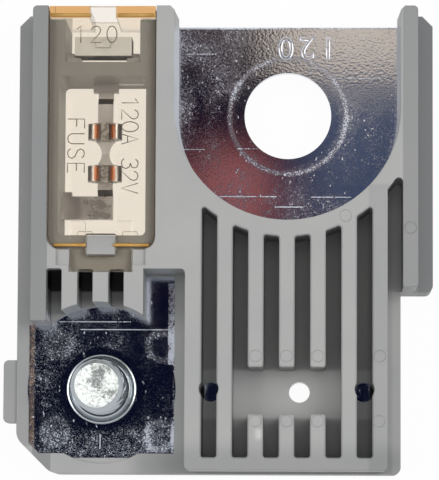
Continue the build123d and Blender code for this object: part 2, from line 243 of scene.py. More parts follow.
# Lettering cut in the cover with a round tool: strokes in a box 0.6 wide and 1 high
OVAL_TURNS = [math.pi * i / 8 for i in range(17)]
OVAL = [(0.3 + 0.3 * math.cos(turn), 0.5 + 0.5 * math.sin(turn)) for turn in OVAL_TURNS]
GLYPHS = {
    "0": [OVAL],
    "1": [[(0.1, 0.8), (0.34, 1.0), (0.34, 0.0)]],
    "2": [
        [(0.02, 0.76), (0.1, 0.92), (0.3, 1.0), (0.5, 0.92), (0.58, 0.74), (0.5, 0.54), (0.0, 0.0)]
        + [(0.6, 0.0)],
    ],
    "3": [
        [(0.03, 0.84), (0.14, 0.96), (0.32, 1.0), (0.5, 0.92), (0.56, 0.76), (0.48, 0.6), (0.28, 0.54)],
        [(0.28, 0.54), (0.5, 0.46), (0.6, 0.28), (0.52, 0.08), (0.3, 0.0), (0.12, 0.03), (0.0, 0.16)],
    ],
    "A": [[(0.0, 0.0), (0.3, 1.0), (0.6, 0.0)], [(0.11, 0.36), (0.49, 0.36)]],
    "E": [[(0.56, 1.0), (0.0, 1.0), (0.0, 0.0), (0.56, 0.0)], [(0.0, 0.53), (0.46, 0.53)]],
    "F": [[(0.56, 1.0), (0.0, 1.0), (0.0, 0.0)], [(0.0, 0.53), (0.46, 0.53)]],
    "S": [
        [(0.57, 0.84), (0.46, 0.96), (0.28, 1.0), (0.1, 0.94), (0.03, 0.78), (0.12, 0.6), (0.3, 0.52)],
        [(0.3, 0.52), (0.48, 0.44), (0.59, 0.26), (0.5, 0.06), (0.3, 0.0), (0.12, 0.04), (0.01, 0.18)],
    ],
    "U": [[(0.0, 1.0), (0.0, 0.24), (0.1, 0.06), (0.3, 0.0), (0.5, 0.06), (0.6, 0.24), (0.6, 1.0)]],
    "V": [[(0.0, 1.0), (0.3, 0.0), (0.6, 1.0)]],
    " ": [],
}

# Words, foot of the first letter, step from letter to letter, turn in degrees
LETTER_HEIGHT = 1.9
LETTER_LINE = 0.055
LETTERING = [
    ("120", (-24.1, 7.35), 1.8, 0.0),
    ("120A 32V", (-18.75, 1.1), 1.4, -90.0),
    ("FUSE", (-24.85, -1.4), 1.68, -90.0),
]

# Cover's foot and top edge, with thick amber lines of painted light where light comes out of the
# plastic, and thin brown lines of painted shade along its rims and round its catch
EDGE_LIGHT_LINE = 0.2
EDGE_LIGHT_STROKES = [
    [(-26.3, -15.72), (-22.7, -15.72)],
    [(-19.6, -15.72), (-15.6, -15.72)],
    [(-26.9, 10.5), (-22.3, 10.5)],
    [(-19.3, 10.5), (-15.1, 10.5)],
]
RIM_SHADE_LINE = 0.05
RIM_SHADE_STROKES = [
    [(-27.0, 11.0), (-27.0, -14.7), (-26.75, -15.45), (-26.1, -15.95), (-25.4, -16.05)],
    [(-14.95, 11.0), (-14.95, -14.7), (-15.2, -15.45), (-15.85, -15.95), (-16.5, -16.05)],
    [(-20.98, -14.46), (-19.43, -14.46), (-19.21, -14.68), (-19.21, -16.77), (-19.43, -16.99)]
    + [(-22.57, -16.99), (-22.79, -16.77), (-22.79, -14.68), (-22.57, -14.46), (-21.02, -14.46)],
]

# Stud and its thread, and the collar as radius and height above the plate
STUD_RADIUS = 3.0 * MM
STUD_CHAMFER = 0.55 * MM
COLLAR_HEIGHT = 0.6 * MM
COLLAR_PROFILE = [
    (0.0, -0.5),
    (3.0, -0.5),
    (3.0, -0.1),
    (4.0, -0.1),
    (4.0, 0.22),
    (3.93, 0.3),
    (3.8, 0.33),
    (3.68, 0.28),
    (3.62, 0.16),
    (3.5, 0.14),
    (3.42, 0.4),
    (3.32, 0.54),
    (3.18, 0.6),
    (3.05, 0.56),
    (3.0, 0.35),
    (2.6, 0.3),
    (0.0, 0.3),
]
THREAD_PITCH = 1.0 * MM
THREAD_DEPTH = 0.58 * MM
THREAD_COLUMNS = 72
ROWS_PER_TURN = 12

# Points closer than this are one point
WELD = 0.0005 * MM


def linear(code):
    """The linear colour of an sRGB hex code."""
    parts = [int(code[i : i + 2], 16) / 255 for i in (0, 2, 4)]
    return tuple(c / 12.92 if c <= 0.04045 else ((c + 0.055) / 1.055) ** 2.4 for c in parts) + (1.0,)


# Inputs whose names repeat are given by number: in a mix, 2 and 3 are its two numbers and 6 and 7
# its two colours, and in a map range of vectors, 7 to 10 are the two ends before and after
def add_node(tree, kind, inputs=None, **settings):
    """Adds a node with its settings and inputs, where a node stands for its first output."""
    node = tree.nodes.new(kind)
    for name, value in settings.items():
        setattr(node, name, value)
    for name, value in (inputs or {}).items():
        if isinstance(value, bpy.types.Node):
            value = value.outputs[0]
        if isinstance(value, bpy.types.NodeSocket):
            tree.links.new(value, node.inputs[name])
        else:
            node.inputs[name].default_value = value
    return node


def new_material(name):
    """A material with an empty node tree, and that tree."""
    material = bpy.data.materials.new(name)
    material.use_nodes = True
    material.node_tree.nodes.clear()
    return material, material.node_tree


def box_mask(tree, where, centre, half, blur):
    """1 inside an upright box, seen from the front in millimetres, falling to 0 over blur."""
    moved = add_node(
        tree, "ShaderNodeVectorMath", {0: where, 1: Vector((*centre, 0)) * MM}, operation="SUBTRACT"
    )
    away = add_node(tree, "ShaderNodeVectorMath", {0: moved}, operation="ABSOLUTE")
    inside = add_node(
        tree,
        "ShaderNodeMapRange",
        {
            "Vector": away,
            7: Vector((*half, 1.0)) * MM,
            8: Vector((half[0] + blur, half[1] + blur, 2.0)) * MM,
            9: (1.0, 1.0, 1.0),
            10: (0.0, 0.0, 0.0),
        },
        data_type="FLOAT_VECTOR",
        interpolation_type="SMOOTHSTEP",
    )
    sides = add_node(tree, "ShaderNodeSeparateXYZ", {0: inside.outputs["Vector"]}).outputs
    return add_node(tree, "ShaderNodeMath", {0: sides["X"], 1: sides["Y"]}, operation="MULTIPLY")


def ring_mask(tree, where, centre, radius, half_width, blur):
    """1 in a ring round an upright line, in millimetres, falling to 0 over blur on both sides."""
    flat = add_node(
        tree,
        "ShaderNodeMapping",
        {"Vector": where, "Location": Vector((-centre[0], -centre[1], 0)) * MM, "Scale": (1, 1, 0)},
    )
    far = add_node(tree, "ShaderNodeVectorMath", {0: flat}, operation="LENGTH").outputs["Value"]
    off = add_node(tree, "ShaderNodeMath", {0: far, 1: radius * MM}, operation="SUBTRACT")
    away = add_node(tree, "ShaderNodeMath", {0: off}, operation="ABSOLUTE")
    return add_node(
        tree,
        "ShaderNodeMapRange",
        {
            "Value": away,
            "From Min": half_width * MM,
            "From Max": (half_width + blur) * MM,
            "To Min": 1.0,
            "To Max": 0.0,
        },
        interpolation_type="SMOOTHSTEP",
    )


def in_boxes(tree, where, areas):
    """The mask of each area in a list, with the weight or the tint that goes with it."""
    return [(box_mask(tree, where, *area), value) for area, value in areas]


def masks_sum(tree, masks, total=0.0):
    """The sum of masks, each times its weight, on top of a first value."""
    for mask, weight in masks:
        total = add_node(
            tree, "ShaderNodeMath", {0: mask, 1: weight, 2: total}, operation="MULTIPLY_ADD"
        )
    return total


def tinted(tree, tone, layers):
    """A colour with each tint laid over it as far as its mask says."""
    for mask, tint in layers:
        tone = add_node(
            tree, "ShaderNodeMix", {"Factor": mask, 6: tone, 7: linear(tint)}, data_type="RGBA"
        ).outputs[2]
    return tone


def moulded_nylon():
    """Glass-filled nylon from a spark-eroded mould: matte mid grey, with a faint cloudy tone, and
    painted shade on its outer walls and flanges and deep in its slots.
    """
    material, tree = new_material("glass_filled_nylon_grey")
    where = add_node(tree, "ShaderNodeTexCoord").outputs["Object"]

    # Flow clouds of about 8 mm, and the eroded grain, which is drawn at 0.24 mm so that it shows
    cloud = add_node(tree, "ShaderNodeTexNoise", {"Vector": where, "Scale": 0.12 / MM, "Detail": 3.0})
    grain = add_node(
        tree,
        "ShaderNodeTexNoise",
        {"Vector": where, "Scale": 4.2 / MM, "Detail": 2.0, "Roughness": 0.6},
    )
    cloudy = add_node(tree, "ShaderNodeMapRange", {"Value": cloud, "From Min": 0.3, "From Max": 0.7})

    # Painted shade darkens the slots with depth, and a scuff shows through the grain
    height = add_node(tree, "ShaderNodeSeparateXYZ", {0: where}).outputs["Z"]
    depth = add_node(
        tree,
        "ShaderNodeMapRange",
        {"Value": height, "From Min": SLOT_SHADE_FROM * MM, "From Max": SLOT_SHADE_FULL_BELOW * MM},
    )
    slots = masks_sum(tree, in_boxes(tree, where, PAINTED_SLOT_SHADE))
    dark = add_node(tree, "ShaderNodeMath", {0: slots, 1: depth}, operation="MULTIPLY")
    scuff = add_node(
        tree, "ShaderNodeMath", {0: box_mask(tree, where, *SCUFF), 1: grain}, operation="MULTIPLY"
    )
    # Painted shade on the outer walls and flanges, darker where less light falls; it and the painted
    # slot shade are laid over the tone
    shade = masks_sum(tree, in_boxes(tree, where, PAINTED_SHADE_AREAS))
    layers = [(cloudy, "AAABAB"), (shade, "6E7073"), (dark, "08080B"), (scuff, "DCDCDA")]
    edge = add_node(tree, "ShaderNodeBevel", {"Radius": 0.12 * MM}, samples=4)
    bump = add_node(
        tree,
        "ShaderNodeBump",
        {"Height": grain, "Strength": 0.25, "Distance": 0.02 * MM, "Normal": edge},
    )
    gloss = add_node(
        tree,
        "ShaderNodeMapRange",
        {"Value": grain, "From Min": 0.3, "From Max": 0.7, "To Min": 0.42, "To Max": 0.56},
    )
    shader = add_node(
        tree,
        "ShaderNodeBsdfPrincipled",
        {
            "Base Color": tinted(tree, linear("A2A4A5"), layers),
            "Roughness": gloss,
            "IOR": 1.53,
            "Normal": bump,
        },
    )
    add_node(tree, "ShaderNodeOutputMaterial", {"Surface": shader})
    return material


def tin_plate():
    """Bright tin on rolled copper strip: a mirror full of fine dents and rubs, copper at cut edges."""
    material, tree = new_material("bright_tin_on_copper")
    where = add_node(tree, "ShaderNodeTexCoord").outputs["Object"]
    height = add_node(tree, "ShaderNodeSeparateXYZ", {0: where}).outputs["Z"]

    # Dents of the barrel that the strip was plated in, drawn at 0.16 mm so that they show, wear
    # that breaks up at 0.6 mm, patches of 4.5 mm, and streaks 1.5 mm wide along the strip
    dents = add_node(
        tree,
        "ShaderNodeTexNoise",
        {"Vector": where, "Scale": 6.2 / MM, "Detail": 2.0, "Roughness": 0.7},
    )
    ragged = add_node(
        tree,
        "ShaderNodeTexNoise",
        {"Vector": where, "Scale": 1.6 / MM, "Detail": 2.0, "Roughness": 0.6},
    )
    broken = add_node(
        tree, "ShaderNodeMapRange", {"Value": ragged, "From Min": 0.1, "From Max": 0.55}
    )
    patches = add_node(
        tree,
        "ShaderNodeTexNoise",
        {"Vector": where, "Scale": 0.22 / MM, "Detail": 5.0, "Roughness": 0.62},
    )
    drawn_out = add_node(tree, "ShaderNodeMapping", {"Vector": where, "Scale": (1.0, 0.16, 1.0)})
    streaks = add_node(
        tree, "ShaderNodeTexNoise", {"Vector": drawn_out, "Scale": 0.65 / MM, "Detail": 3.0}
    )

    # Haze of the clamp washer's ring and of the press marks, and the scratches and the worn edge
    washer_ring, washer_haze = WASHER_RING
    haze = masks_sum(tree, [(ring_mask(tree, where, hole_spot, *washer_ring), washer_haze)])
    for centre, disc_haze, rim_haze in PRESS_MARKS:
        disc = ring_mask(tree, where, centre, 0.0, PRESS_RADIUS, PRESS_BLUR)
        rim = ring_mask(tree, where, centre, *PRESS_RIM)
        haze = masks_sum(tree, [(disc, disc_haze), (rim, rim_haze)], haze)
    scratched = masks_sum(tree, in_boxes(tree, where, SCRATCHES))
    worn = add_node(
        tree,
        "ShaderNodeMath",
        {0: box_mask(tree, where, *WORN_EDGE), 1: broken},
        operation="MULTIPLY",
    )

    # Dents lie closer together in patches, in streaks, on rubbed areas and along the marks
    crowding = masks_sum(
        tree, [(patches, 0.5), (streaks, 0.24), (scratched, broken), (haze, 0.6)], DENT_LEVEL
    )
    crowding = masks_sum(tree, in_boxes(tree, where, RUBS), crowding)
    clean = [(ring_mask(tree, where, *rim), weight) for rim, weight in CLEAN_RIMS]
    crowding = masks_sum(tree, clean + [(dents, 1.0)], crowding)
    speckle = add_node(
        tree, "ShaderNodeMapRange", {"Value": crowding, "From Min": 0.46, "From Max": 0.8}
    )

    # Nicks, 0.3 mm wide and twice as long
    nick_place = add_node(tree, "ShaderNodeMapping", {"Vector": where, "Scale": (1.0, 0.5, 1.0)})
    nicks = add_node(
        tree, "ShaderNodeTexNoise", {"Vector": nick_place, "Scale": 3.0 / MM, "Detail": 1.0}
    )
    nicked = add_node(
        tree, "ShaderNodeMapRange", {"Value": nicks, "From Min": 0.68, "From Max": 0.78}
    )
    speckle = add_node(tree, "ShaderNodeMath", {0: speckle, 1: nicked}, operation="MAXIMUM")

    # The pads are bright and the fuse strip is dull
    rough = add_node(
        tree, "ShaderNodeMapRange", {"Value": speckle, "To Min": 0.08, "To Max": 0.31}
    )
    rough = masks_sum(tree, [(scratched, 0.25), (haze, 1.0), (worn, 0.14)], rough)
    dull = add_node(
        tree,
        "ShaderNodeMapRange",
        {"Value": patches, "From Min": 0.35, "From Max": 0.6, "To Min": 0.25, "To Max": 0.42},
    )
    on_strip = box_mask(tree, where, *FUSE_AREA)
    gloss = add_node(tree, "ShaderNodeMix", {"Factor": on_strip, 2: rough, 3: dull})

    # Orange peel of 0.3 mm where the strip was pressed, and the dents everywhere
    peel = add_node(tree, "ShaderNodeTexNoise", {"Vector": where, "Scale": 3.4 / MM, "Detail": 1.0})
    pressed = add_node(
        tree, "ShaderNodeMath", {0: peel, 1: box_mask(tree, where, *PEEL_AREA)}, operation="MULTIPLY"
    )
    bump = add_node(
        tree,
        "ShaderNodeBump",
        {
            "Height": masks_sum(tree, [(dents, 0.25), (pressed, 0.75)]),
            "Strength": 0.5,
            "Distance": 0.02 * MM,
        },
    )

    # Copper where the strip was cut: the lower edge of the tongue and the tips of the crimps
    edge_low, edge_high = TONGUE_EDGE
    low = add_node(
        tree,
        "ShaderNodeMapRange",
        {
            "Value": height,
            "From Min": edge_low * MM,
            "From Max": edge_high * MM,
            "To Min": 1.0,
            "To Max": 0.0,
        },
    )
    tongue = add_node(
        tree, "ShaderNodeMath", {0: box_mask(tree, where, *TONGUE_AREA), 1: low}, operation="MULTIPLY"
    )
    tips = [
        (box_mask(tree, where, (strip_x + side * CRIMP_TIP, y), *CRIMP_TIP_SIZE), CRIMP_TINT)
        for side in (-1, 1)
        for y in CRIMP_MIDDLES
    ]
    raised = add_node(
        tree, "ShaderNodeMath", {0: height, 1: CRIMP_TOP_FROM * MM}, operation="GREATER_THAN"
    )
    crimped = add_node(
        tree, "ShaderNodeMath", {0: masks_sum(tree, tips), 1: raised}, operation="MULTIPLY"
    )
    layers = [(on_strip, "B0AEAE"), (tongue, "A89A92"), (worn, "A48F84"), (crimped, "D9803F")]
    shader = add_node(
        tree,
        "ShaderNodeBsdfPrincipled",
        {
            "Base Color": tinted(tree, linear("D2D8E6"), layers),
            "Metallic": 1.0,
            "Roughness": gloss,
            "Normal": bump,
        },
    )
    add_node(tree, "ShaderNodeOutputMaterial", {"Surface": shader})
    return material


def cast_tin():
    """Cast tin, dull and slightly grainy, as poured into the crimps."""
    material, tree = new_material("cast_tin")
    where = add_node(tree, "ShaderNodeTexCoord").outputs["Object"]

    # Grains of 0.4 mm
    grain = add_node(tree, "ShaderNodeTexNoise", {"Vector": where, "Scale": 2.6 / MM, "Detail": 3.0})
    bump = add_node(
        tree, "ShaderNodeBump", {"Height": grain, "Strength": 0.4, "Distance": 0.04 * MM}
    )
    gloss = add_node(
        tree, "ShaderNodeMapRange", {"Value": grain, "To Min": 0.12, "To Max": 0.42}
    )
    shader = add_node(
        tree,
        "ShaderNodeBsdfPrincipled",
        {"Base Color": linear("B9B6B2"), "Metallic": 1.0, "Roughness": gloss, "Normal": bump},
    )
    add_node(tree, "ShaderNodeOutputMaterial", {"Surface": shader})
    return material


def zinc_steel():
    """Rolled steel with clear-passivated zinc: smooth bright flanks, and a grainier cut end with a
    painted highlight.
    """
    material, tree = new_material("zinc_plated_steel")
    where = add_node(tree, "ShaderNodeTexCoord").outputs["Object"]
    height = add_node(tree, "ShaderNodeSeparateXYZ", {0: where}).outputs["Z"]

    # Crystals of the cut end, drawn at 0.3 mm so that they show, over blotches of 1.4 mm
    crystals = add_node(
        tree,
        "ShaderNodeTexNoise",
        {"Vector": where, "Scale": 3.3 / MM, "Detail": 2.0, "Roughness": 0.7},
    )
    blotches = add_node(
        tree,
        "ShaderNodeTexNoise",
        {"Vector": where, "Scale": 0.7 / MM, "Detail": 3.0, "Roughness": 0.6},
    )
    end = add_node(
        tree,
        "ShaderNodeMapRange",
        {"Value": height, "From Min": stud_top - 0.1 * MM, "From Max": stud_top - 0.02 * MM},
    )
    smooth = box_mask(tree, where, (stud_spot[0], stud_spot[1] + SMOOTH_SHIFT), *SMOOTH_SIZE)
    mottle = masks_sum(tree, [(crystals, 0.9), (blotches, 0.6), (smooth, -0.16)])
    cut = add_node(
        tree,
        "ShaderNodeMapRange",
        {"Value": mottle, "From Min": 0.55, "From Max": 0.9, "To Min": 0.24, "To Max": 0.5},
    )
    rolled = add_node(
        tree,
        "ShaderNodeMapRange",
        {"Value": blotches, "From Min": 0.3, "From Max": 0.7, "To Min": 0.16, "To Max": 0.26},
    )
    gloss = add_node(tree, "ShaderNodeMix", {"Factor": end, 2: rolled, 3: cut})
    relief = add_node(tree, "ShaderNodeMath", {0: crystals, 1: end}, operation="MULTIPLY")
    bump = add_node(
        tree, "ShaderNodeBump", {"Height": relief, "Strength": 0.5, "Distance": 0.04 * MM}
    )
    # Painted highlight: the cut end is coloured far lighter than the flanks of the same zinc
    shader = add_node(
        tree,
        "ShaderNodeBsdfPrincipled",
        {
            "Base Color": tinted(tree, linear("ABB1B5"), [(end, "EEF4F2")]),
            "Metallic": 1.0,
            "Roughness": gloss,
            "Normal": bump,
        },
    )
    add_node(tree, "ShaderNodeOutputMaterial", {"Surface": shader})
    return material


def amber_clear():
    """Clear polyethersulfone: naturally amber, so it colours most where light runs along it."""
    material, tree = new_material("clear_amber_polyethersulfone")
    edge = add_node(tree, "ShaderNodeBevel", {"Radius": 0.14 * MM}, samples=4)
    glass = add_node(
        tree,
        "ShaderNodeBsdfPrincipled",
        {
            "Base Color": linear("FFFFFF"),
            "Roughness": 0.03,
            "IOR": 1.5,
            "Transmission Weight": 1.0,
            "Normal": edge,
        },
    )

    # Shadow rays go straight through, so that light reaches the fuse strip
    through = add_node(tree, "ShaderNodeBsdfTransparent", {"Color": linear("FDFDFD")})
    shadow = add_node(tree, "ShaderNodeLightPath").outputs["Is Shadow Ray"]
    surface = add_node(tree, "ShaderNodeMixShader", {0: shadow, 1: glass, 2: through})
    tint = add_node(
        tree, "ShaderNodeVolumeAbsorption", {"Color": AMBER_TINT, "Density": AMBER_PER_METRE}
    )
    add_node(tree, "ShaderNodeOutputMaterial", {"Surface": surface, "Volume": tint})
    return material


def lettering_and_rim_shade():
    """The same plastic where a tool has cut the lettering: frosted, so the strokes look brown; the same
    brown draws thin lines of painted shade along the cover's rims and round its catch.
    """
    material, tree = new_material("amber_lettering_and_painted_rim_shade")
    where = add_node(tree, "ShaderNodeTexCoord").outputs["Object"]

    # Chatter of the tool, 0.45 mm from mark to mark
    chatter = add_node(tree, "ShaderNodeTexNoise", {"Vector": where, "Scale": 2.2 / MM, "Detail": 2.0})
    tone = tinted(tree, linear("33261A"), [(chatter, "6A523A")])
    shader = add_node(
        tree, "ShaderNodeBsdfPrincipled", {"Base Color": tone, "Roughness": 0.45, "IOR": 1.5}
    )
    add_node(tree, "ShaderNodeOutputMaterial", {"Surface": shader})
    return material


def painted_edge_light():
    """Painted light along the cover's edge: the same plastic, opaque deep amber where light that has
    run through it comes out.
    """
    material, tree = new_material("painted_amber_edge_light")
    where = add_node(tree, "ShaderNodeTexCoord").outputs["Object"]

    # Patches of the painted light along flow lines of the moulding, 2.5 mm long
    flow = add_node(tree, "ShaderNodeTexNoise", {"Vector": where, "Scale": 0.4 / MM, "Detail": 2.0})
    tone = tinted(tree, linear("B5873A"), [(flow, "D2A860")])
    shader = add_node(
        tree, "ShaderNodeBsdfPrincipled", {"Base Color": tone, "Roughness": 0.25, "IOR": 1.5}
    )
    add_node(tree, "ShaderNodeOutputMaterial", {"Surface": shader})
    return material


def pale_sheet():
    """A pale paper sheet that shows white to the eye and in metal, and keeps a soft shadow."""
    material, tree = new_material("pale_paper")
    path = add_node(tree, "ShaderNodeLightPath").outputs
    shares = [
        (path["Is Camera Ray"], FLOOR_SHARE),
        (path["Is Glossy Ray"], FLOOR_SHARE),
        (path["Is Transmission Ray"], FLOOR_SHARE_THROUGH_COVER),
    ]
    seen = 0.0
    for ray, share in shares:
        white = add_node(tree, "ShaderNodeMath", {0: ray, 1: share}, operation="MULTIPLY")
        seen = add_node(tree, "ShaderNodeMath", {0: seen, 1: white}, operation="MAXIMUM")
    paper = add_node(tree, "ShaderNodeBsdfDiffuse", {"Color": linear("F2F2F0")})
    glow = add_node(tree, "ShaderNodeEmission", {"Color": linear("FFFFFF"), "Strength": 1.0})
    shader = add_node(tree, "ShaderNodeMixShader", {0: seen, 1: paper, 2: glow})
    add_node(tree, "ShaderNodeOutputMaterial", {"Surface": shader})
    return material


def dark_card():
    """What the plates mirror: a dark studio with pale, slate, red and brown patches in it."""
    material, tree = new_material("studio_over_camera")
    where = add_node(tree, "ShaderNodeTexCoord").outputs["Object"]
    seen = tinted(tree, linear(CARD_TONE), in_boxes(tree, where, CARD_PATCHES))
    glow = add_node(tree, "ShaderNodeEmission", {"Color": seen, "Strength": 1.0})
    add_node(tree, "ShaderNodeOutputMaterial", {"Surface": glow})
    return material


def paint(object_name, material):
    """Gives a carried-over piece its material."""
    slots = nodes[object_name].material_slots
    if not slots:
        nodes[object_name].data.materials.append(material)
    for material_slot in nodes[object_name].material_slots:
        material_slot.material = material


def flat_sheet(name, centre, width, length, material):
    """A level rectangle that belongs to the studio."""
    mesh = bpy.data.meshes.new(name)
    x, y = width / 2, length / 2
    corners = [(-x, -y, 0), (x, -y, 0), (x, y, 0), (-x, y, 0)]
    mesh.from_pydata([Vector(c) + Vector(centre) for c in corners], [], [(0, 1, 2, 3)])
    mesh.materials.append(material)
    sheet = bpy.data.objects.new(name, mesh)
    bpy.context.scene.collection.objects.link(sheet)
    return sheet


def area_light(name, place_mm, size_mm, power):
    """A soft light that points at the middle of the fuse."""
    lamp = bpy.data.lights.new(name, "AREA")
    lamp.shape = "SQUARE"
    lamp.size = size_mm * MM
    lamp.energy = power
    lamp.color = linear(LAMP_COLOUR)[:3]
    light = bpy.data.objects.new(name, lamp)
    light.location = Vector(place_mm) * MM
    light.rotation_euler = (VIEW_CENTRE - light.location).to_track_quat("-Z", "Y").to_euler()
    bpy.context.scene.collection.objects.link(light)
    return light


def set_camera():
    """Camera at the photograph's place."""
    direction = Vector((VIEW_SIDE, VIEW_TILT, 1.0)).normalized()
    camera = bpy.data.objects.new("camera", bpy.data.cameras.new("camera"))
    camera.data.lens = VIEW_LENS
    camera.data.sensor_width = 36.0
    camera.data.clip_start = 0.01
    camera.data.clip_end = 10.0
    camera.location = VIEW_CENTRE + direction * VIEW_DISTANCE
    side = Vector((0, 1, 0)).cross(direction).normalized()
    up = direction.cross(side)
    turn = Matrix((side, up, direction)).transposed() @ Matrix.Rotation(VIEW_ROLL, 3, "Z")
    camera.rotation_euler = turn.to_euler()
    bpy.context.scene.collection.objects.link(camera)
    bpy.context.scene.camera = camera


def set_studio():
    """Even light from all round, three soft lamps, the sheet below and the dark card above."""
    scene = bpy.context.scene
    scene.view_settings.view_transform = "Standard"
    world = bpy.data.worlds.new("studio")
    world.use_nodes = True
    tree = world.node_tree
    tree.nodes.clear()
    path = add_node(tree, "ShaderNodeLightPath").outputs
    seen = path["Is Camera Ray"]
    for ray in ("Is Glossy Ray", "Is Transmission Ray"):
        seen = add_node(tree, "ShaderNodeMath", {0: seen, 1: path[ray]}, operation="MAXIMUM")
    level = add_node(
        tree, "ShaderNodeMapRange", {"Value": seen, "To Min": WORLD_LEVEL, "To Max": 1.0}
    )
    glow = add_node(tree, "ShaderNodeBackground", {"Color": linear("FFFFFF"), "Strength": level})
    add_node(tree, "ShaderNodeOutputWorld", {"Surface": glow})
    scene.world = world

    flat_sheet("sheet", (0, 0, cad_low.z - FLOOR_GAP), FLOOR_SIZE, FLOOR_SIZE, pale_sheet())
    card = flat_sheet("card", CARD_PLACE, CARD_WIDTH, CARD_LENGTH, dark_card())
    card.visible_camera = False
    card.visible_diffuse = False
    card.visible_volume_scatter = False
    card.visible_shadow = False
    lamps = {name: area_light(name, *values) for name, values in LAMPS.items()}

    # The top lamp would show as a white square in the plates
    lamps["top_softbox"].visible_glossy = False


def thread_tree(material):
    """Node tree for a rolled metric thread: a sheet wound round the axis, with a disc at each end."""
    tree = bpy.data.node_groups.new("metric_thread", "GeometryNodeTree")
    for size in ("Crest Radius", "Root Radius", "Pitch", "Start", "End", "End Chamfer"):
        tree.interface.new_socket(size, in_out="INPUT", socket_type="NodeSocketFloat")
    for count in ("Columns", "Rows"):
        tree.interface.new_socket(count, in_out="INPUT", socket_type="NodeSocketInt")
    tree.interface.new_socket("Mesh", in_out="OUTPUT", socket_type="NodeSocketGeometry")
    sizes = add_node(tree, "NodeGroupInput").outputs
    maths = "ShaderNodeMath"
    columns = add_node(tree, maths, {0: sizes["Columns"], 1: 1.0}, operation="ADD")
    sheet = add_node(
        tree,
        "GeometryNodeMeshGrid",
        {"Size X": 1.0, "Size Y": 1.0, "Vertices X": columns, "Vertices Y": sizes["Rows"]},
    )
    point = add_node(tree, "GeometryNodeInputPosition")
    flat = add_node(tree, "ShaderNodeSeparateXYZ", {0: point}).outputs
    turn = add_node(tree, maths, {0: flat["X"], 1: 0.5}, operation="ADD")
    rise = add_node(tree, maths, {0: flat["Y"], 1: 0.5}, operation="ADD")
    height = add_node(
        tree, "ShaderNodeMapRange", {"Value": rise, "To Min": sizes["Start"], "To Max": sizes["End"]}
    )

    # How far a point is from the middle of the thread's crest, from 0 to 1
    turns = add_node(tree, maths, {0: height, 1: sizes["Pitch"]}, operation="DIVIDE")
    behind = add_node(tree, maths, {0: turns, 1: turn}, operation="SUBTRACT")
    fall = add_node(tree, maths, {0: behind, 1: 0.5}, operation="PINGPONG")
    wound = add_node(
        tree,
        "ShaderNodeMapRange",
        {
            "Value": fall,
            "From Min": 0.44,
            "From Max": 0.08,
            "To Min": sizes["Root Radius"],
            "To Max": sizes["Crest Radius"],
        },
    )

    # Both ends are turned down at 45 degrees
    climbed = add_node(tree, maths, {0: height, 1: sizes["Start"]}, operation="SUBTRACT")
    above = add_node(tree, maths, {0: climbed, 1: sizes["Root Radius"]}, operation="ADD")
    end_radius = add_node(
        tree, maths, {0: sizes["Crest Radius"], 1: sizes["End Chamfer"]}, operation="SUBTRACT"
    )
    left = add_node(tree, maths, {0: sizes["End"], 1: height}, operation="SUBTRACT")
    below = add_node(tree, maths, {0: left, 1: end_radius}, operation="ADD")
    lower = add_node(tree, maths, {0: wound, 1: above}, operation="MINIMUM")
    radius = add_node(tree, maths, {0: lower, 1: below}, operation="MINIMUM")
    angle = add_node(tree, maths, {0: turn, 1: 2 * math.pi}, operation="MULTIPLY")
    spoke = add_node(tree, "ShaderNodeCombineXYZ", {"X": radius, "Z": height})
    wound_point = add_node(
        tree, "ShaderNodeVectorRotate", {"Vector": spoke, "Angle": angle}, rotation_type="Z_AXIS"
    )
    wall = add_node(
        tree, "GeometryNodeSetPosition", {"Geometry": sheet, "Position": wound_point}
    )
    pieces = [wall]
    for disc_radius, level in ((sizes["Root Radius"], sizes["Start"]), (end_radius, sizes["End"])):
        disc = add_node(
            tree,
            "GeometryNodeMeshCircle",
            {"Vertices": sizes["Columns"], "Radius": disc_radius},
            fill_type="NGON",
        )
        lift = add_node(tree, "ShaderNodeCombineXYZ", {"Z": level})
        pieces.append(add_node(tree, "GeometryNodeSetPosition", {"Geometry": disc, "Offset": lift}))
    joined = add_node(tree, "GeometryNodeJoinGeometry")
    for piece in reversed(pieces):
        tree.links.new(piece.outputs[0], joined.inputs[0])
    closed = add_node(
        tree, "GeometryNodeMergeByDistance", {"Geometry": joined, "Distance": 2 * WELD}
    )
    finish_tree(tree, closed, material)
    return tree


def ring_marks_tree(material):
    """Node tree that sets a thin raised ring on every point of the mesh it is given."""
    tree = bpy.data.node_groups.new("ring_marks", "GeometryNodeTree")
    tree.interface.new_socket("Points", in_out="INPUT", socket_type="NodeSocketGeometry")
    for size in ("Mark Radius", "Line Radius"):
        tree.interface.new_socket(size, in_out="INPUT", socket_type="NodeSocketFloat")
    tree.interface.new_socket("Mesh", in_out="OUTPUT", socket_type="NodeSocketGeometry")
    given = add_node(tree, "NodeGroupInput").outputs
    path = add_node(
        tree,
        "GeometryNodeCurvePrimitiveCircle",
        {"Resolution": RING_POINTS, "Radius": given["Mark Radius"]},
    )
    line = add_node(
        tree,
        "GeometryNodeCurvePrimitiveCircle",
        {"Resolution": LINE_POINTS, "Radius": given["Line Radius"]},
    )
    ring = add_node(tree, "GeometryNodeCurveToMesh", {"Curve": path, "Profile Curve": line})
    rings = add_node(
        tree, "GeometryNodeInstanceOnPoints", {"Points": given["Points"], "Instance": ring}
    )
    finish_tree(tree, rings, material)
    return tree


def finish_tree(tree, geometry, material):
    """Ends a node tree: instances made real, and the material set."""
    real = add_node(tree, "GeometryNodeRealizeInstances", {"Geometry": geometry})
    painted = add_node(tree, "GeometryNodeSetMaterial", {"Geometry": real, "Material": material})
    add_node(tree, "NodeGroupOutput", {0: painted})


